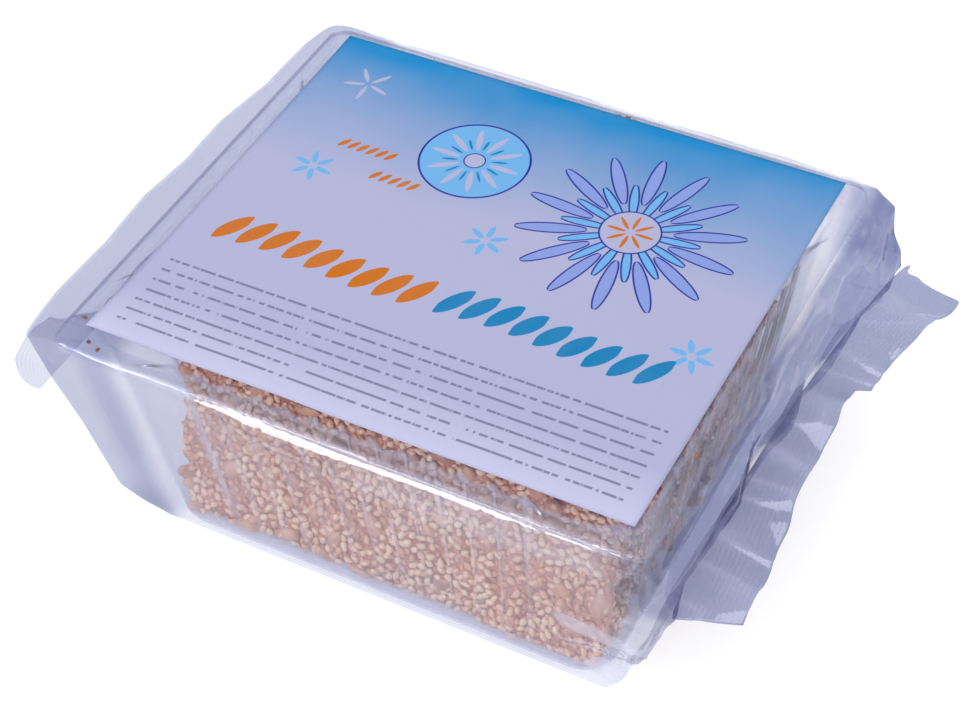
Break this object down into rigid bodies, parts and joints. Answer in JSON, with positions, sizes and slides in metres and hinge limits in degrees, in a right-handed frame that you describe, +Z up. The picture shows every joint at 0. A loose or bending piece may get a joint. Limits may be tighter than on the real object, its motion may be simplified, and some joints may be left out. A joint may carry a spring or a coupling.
{
  "type": "sesame brittle pack",
  "caption": "Slabs of sesame brittle stood on edge in a clear fluted tray, flow-wrapped in clear film with crimped end seals and a paper label on top",
  "frame": {"origin": "middle of the base of the whole pack's box, on the surface that it rests on", "axes": "+X along the pack from the folded-down end seal to the open crimped end seal, +Y from the front panel to the back panel, +Z up through the label"},
  "size_m": [0.2116, 0.142, 0.0699],
  "materials": {
    "film": "clear glossy flow-wrap film with creases and crimped seals",
    "tray": "clear thin thermoformed plastic with upright flutes",
    "label_paper": "smooth coated label paper, printed in blues and orange",
    "caramel": "hard brown boiled sugar, half gloss",
    "seed": "toasted cream and tan seeds and kernels with a thin sugar coat"
  },
  "bodies": {
    "root": {"film_pack": "film", "label": "label_paper"}
  },
  "joints": []
}
